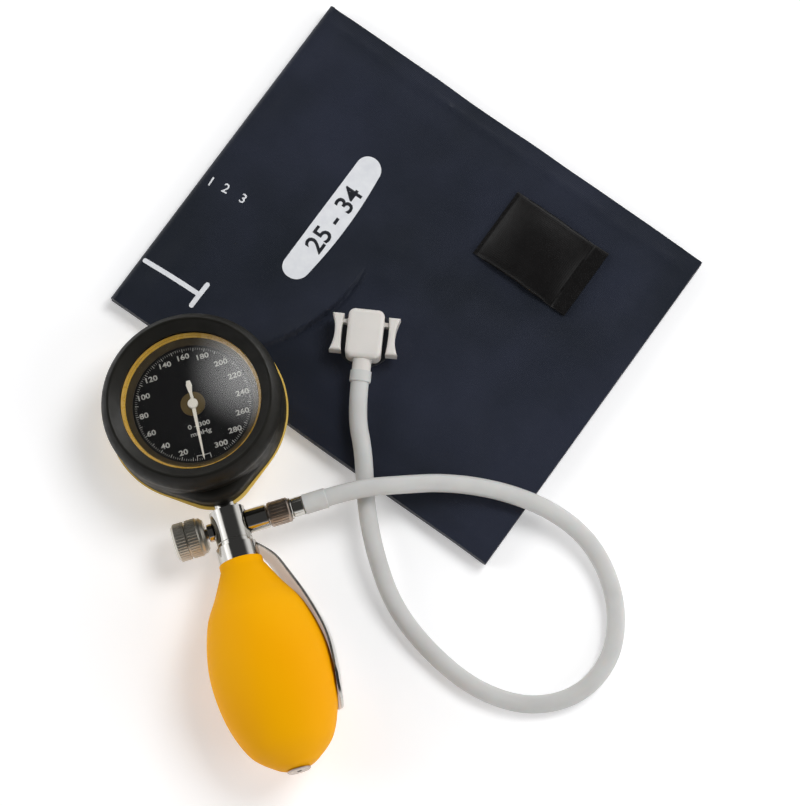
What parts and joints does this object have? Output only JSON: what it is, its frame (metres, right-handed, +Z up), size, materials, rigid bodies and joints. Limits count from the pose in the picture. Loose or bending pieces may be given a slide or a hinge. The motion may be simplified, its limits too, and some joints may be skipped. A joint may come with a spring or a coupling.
{
  "type": "aneroid sphygmomanometer",
  "caption": "Hand-held blood pressure gauge with squeeze bulb, release valve and palm spoon, joined by a hose and quick connector to a folded arm cuff.",
  "frame": {"origin": "centre of the folded cuff on the surface it lies on", "axes": "+Z up, +X along the folded cuff towards the free end of its top layer, +Y across the cuff away from the gauge"},
  "size_m": [0.2407, 0.2575, 0.0464],
  "materials": {
    "case_paint": "gloss enamel",
    "black_rubber": "matte moulded rubber",
    "dial": "matt black with pale figures",
    "dial_ring": "satin",
    "bezel": "gloss",
    "seal_rubber": "matte",
    "lens": "clear",
    "pointer": "white paint",
    "hub": "turned",
    "steel": "turned",
    "bronze": "rolled",
    "brass": "turned",
    "chrome": "mirror plated",
    "satin_metal": "satin nickel",
    "bulb_rubber": "smooth satin rubber",
    "hose": "smooth satin",
    "connector": "fine moulded",
    "port": "matte",
    "cuff_fabric": "coated nylon, fine weave",
    "cuff_lining": "coated nylon",
    "hook": "hook pile",
    "loop": "loop pile",
    "webbing": "woven tape",
    "thread": "sewn thread"
  },
  "bodies": {
    "base": {"bezel_ring": "bezel", "bulb": "bulb_rubber", "bumper": "black_rubber", "capsule_base": "bronze", "capsule_stud": "brass", "connector_barb": "connector", "connector_body": "connector", "connector_hose_end": "hose", "connector_seal": "seal_rubber", "cuff_inner_fabric": "cuff_lining", "cuff_outer_fabric": "cuff_fabric", "cuff_port": "port", "dial_plate": "dial", "dial_ring": "dial_ring", "end_valve_body": "satin_metal", "end_valve_cage": "brass", "gauge_loop": "webbing", "hook_patch": "hook", "hose": "hose", "hose_adapter": "chrome", "hose_port": "chrome", "hose_sleeve": "hose", "lens": "lens", "lens_gasket": "seal_rubber", "loop_bar_tacks": "thread", "loop_patch": "loop", "movement_bridge": "brass", "movement_lower_plate": "brass", "movement_pillars": "brass", "movement_screws": "steel", "movement_upper_plate": "brass", "outlet_valve_seat": "brass", "palm_spoon": "chrome", "pressure_tube": "brass", "rear_housing": "case_paint", "release_gland": "chrome", "stem_seal": "seal_rubber", "stem_set_screw": "steel", "valve_body": "chrome"},
    "pointer_assembly": {"pointer": "pointer", "pointer_hub": "hub", "pointer_staff": "steel", "hairspring": "bronze"},
    "sector": {"sector_gear": "brass"},
    "rocker": {"rocker_shaft": "steel"},
    "capsule": {"capsule_lid": "bronze"},
    "needle": {"needle_tip": "steel"},
    "release": {"release_screw": "steel", "release_knob": "chrome"},
    "nut": {"luer_nut": "satin_metal"},
    "outlet_disc": {"outlet_valve_disc": "seal_rubber"},
    "inlet_disc": {"end_valve_disc": "seal_rubber"},
    "tab_left": {"release_tab_left": "connector"},
    "tab_right": {"release_tab_right": "connector"}
  },
  "joints": [
    {"name": "capsule_lift", "type": "slide", "parent": "base", "child": "capsule", "axis": [-0.1302, 0.0136, 0.9914], "range_m": [0, 0.0016]},
    {"name": "rocker_turn", "type": "hinge", "parent": "base", "child": "rocker", "pos_m": [-0.03782, -0.08851, 0.01519], "axis": [-0.3747, -0.9264, -0.0365], "range_deg": [0, 20]},
    {"name": "sector_swing", "type": "hinge", "parent": "base", "child": "sector", "pos_m": [-0.0449, -0.10569, 0.00986], "axis": [-0.1302, 0.0136, 0.9914], "range_deg": [0, 28.13]},
    {"name": "pointer_turn", "type": "hinge", "parent": "base", "child": "pointer_assembly", "pos_m": [-0.033, -0.0903, 0.01121], "axis": [-0.1302, 0.0136, 0.9914], "range_deg": [-337.51, 0], "stiffness_Nm_per_rad": 0.000002},
    {"name": "needle_travel", "type": "slide", "parent": "base", "child": "needle", "axis": [-0.6101, -0.7893, -0.0693], "range_m": [0, 0.00112]},
    {"name": "knob_turn", "type": "hinge", "parent": "needle", "child": "release", "pos_m": [0.00326, -0.11879, 0.01636], "axis": [-0.6101, -0.7893, -0.0693], "range_deg": [0, 540.05]},
    {"name": "nut_turn", "type": "hinge", "parent": "base", "child": "nut", "pos_m": [0.01486, -0.10379, 0.01768], "axis": [0.6101, 0.7893, 0.0693], "continuous": true},
    {"name": "outlet_disc_lift", "type": "slide", "parent": "base", "child": "outlet_disc", "axis": [-0.7815, 0.6139, -0.111], "range_m": [0, 0.0008]},
    {"name": "inlet_disc_lift", "type": "slide", "parent": "base", "child": "inlet_disc", "axis": [-0.7815, 0.6139, -0.111], "range_m": [0, 0.0008]},
    {"name": "tab_left_press", "type": "hinge", "parent": "base", "child": "tab_left", "pos_m": [-0.00695, -0.0282, 0.0155], "axis": [0, 0, 1], "range_deg": [0, 6], "stiffness_Nm_per_rad": 0.05},
    {"name": "tab_right_press", "type": "hinge", "parent": "base", "child": "tab_right", "pos_m": [0.00434, -0.02176, 0.0155], "axis": [0, 0, -1], "range_deg": [0, 6], "stiffness_Nm_per_rad": 0.05}
  ],
  "couplings": [
    {"joint": "rocker_turn", "follows": "capsule_lift", "rad_per_m": 218.17},
    {"joint": "sector_swing", "follows": "capsule_lift", "rad_per_m": 306.8},
    {"joint": "pointer_turn", "follows": "capsule_lift", "rad_per_m": -3681.6},
    {"joint": "knob_turn", "follows": "needle_travel", "rad_per_m": 8377.6}
  ]
}
